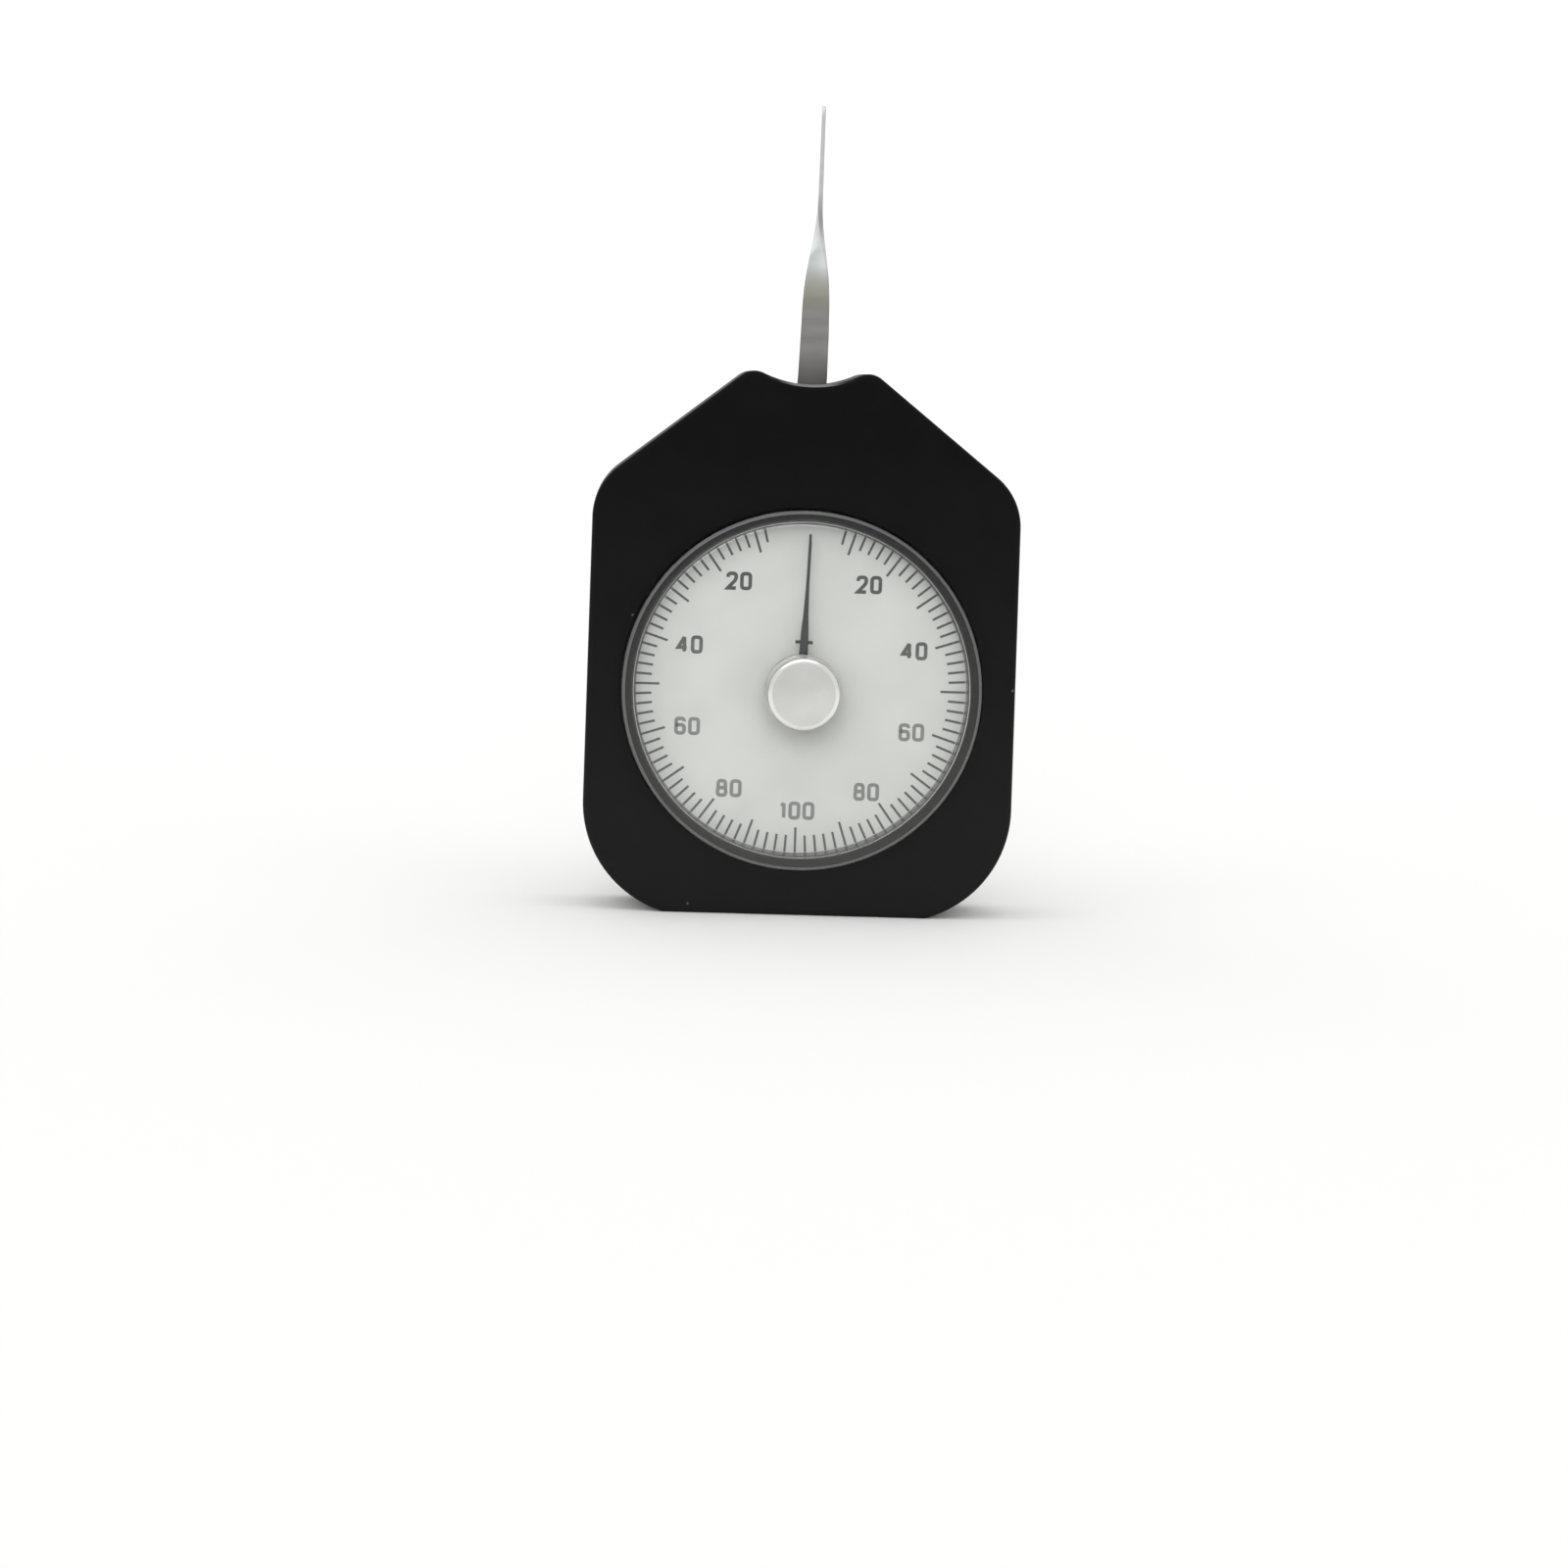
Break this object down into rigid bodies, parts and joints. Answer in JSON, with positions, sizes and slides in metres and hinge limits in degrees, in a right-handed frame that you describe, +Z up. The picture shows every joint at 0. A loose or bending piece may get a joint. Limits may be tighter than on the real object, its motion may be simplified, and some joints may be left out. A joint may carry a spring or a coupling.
{
  "type": "dial tension gauge",
  "caption": "Hand-held dial tension gauge: black case, round dial read both ways from zero, peak hand with a reset knob, and a twisted flat lever that swings out of the top.",
  "frame": {"origin": "centre of the flat underside of the case, midway through the case's depth", "axes": "+Z up from the underside towards the lever's tip, the dial faces -Y, +X is to the right of a person who reads the dial"},
  "size_m": [0.0554, 0.0232, 0.104],
  "materials": {
    "case_black": "fine satin",
    "dial_white": "matt enamel",
    "hand_black": "matt black",
    "crystal_clear": "clear, polished",
    "knob_chrome": "satin plate",
    "brass": "brushed",
    "spring_steel": "rolled",
    "lever_steel": "rolled strip",
    "turned_steel": "fine turned",
    "screw_steel": "turned"
  },
  "bodies": {
    "case": {"front_case": "case_black", "back_cover": "case_black", "dial_plate": "dial_white", "crystal": "crystal_clear", "crystal_bush": "knob_chrome", "movement_front_plate": "brass", "movement_back_plate": "brass", "pillar_1": "brass", "pillar_2": "brass", "pillar_3": "brass", "pillar_4": "brass", "pinion_bush_front": "brass", "pinion_bush_back": "brass", "lever_bush_front": "brass", "lever_bush_back": "brass", "measuring_spring_stud": "brass", "hairspring_stud": "brass", "measuring_spring": "spring_steel", "hairspring": "spring_steel", "friction_washer": "spring_steel", "stop_pin_1": "turned_steel", "stop_pin_2": "turned_steel", "cover_screw_1": "screw_steel", "cover_screw_2": "screw_steel", "cover_screw_3": "screw_steel", "cover_screw_4": "screw_steel", "movement_screw_1": "screw_steel", "movement_screw_2": "screw_steel", "movement_screw_3": "screw_steel", "pillar_screw_1": "screw_steel", "pillar_screw_2": "screw_steel", "pillar_screw_3": "screw_steel", "pillar_screw_4": "screw_steel"},
    "lever": {"lever_arbor": "turned_steel", "lever_holder": "brass", "clamp_plate": "lever_steel", "clamp_screw_1": "screw_steel", "clamp_screw_2": "screw_steel", "sector_gear": "brass", "spring_collet": "brass", "feeler_lever": "lever_steel"},
    "pointer": {"pinion_arbor": "turned_steel", "hairspring_collet": "brass", "pointer_hub": "brass", "pointer": "hand_black", "peak_driver": "hand_black"},
    "peak_hand": {"reset_knob": "knob_chrome", "knob_shaft": "turned_steel", "shaft_clip": "spring_steel", "peak_hub": "hand_black", "peak_hand": "hand_black"}
  },
  "joints": [
    {"name": "lever_swing", "type": "hinge", "parent": "case", "child": "lever", "pos_m": [0, 0, 0.0586], "axis": [0, 1, 0], "range_deg": [-13.85, 13.85], "stiffness_Nm_per_rad": 0.184, "deforming": ["measuring_spring"]},
    {"name": "pointer_turn", "type": "hinge", "parent": "case", "child": "pointer", "pos_m": [0, 0, 0.0292], "axis": [0, 1, 0], "range_deg": [-180, 180], "deforming": ["hairspring"]},
    {"name": "peak_turn", "type": "hinge", "parent": "case", "child": "peak_hand", "pos_m": [0, 0, 0.0292], "axis": [0, 1, 0], "range_deg": [-180, 180]}
  ],
  "couplings": [
    {"joint": "pointer_turn", "follows": "lever_swing", "ratio": -13}
  ]
}
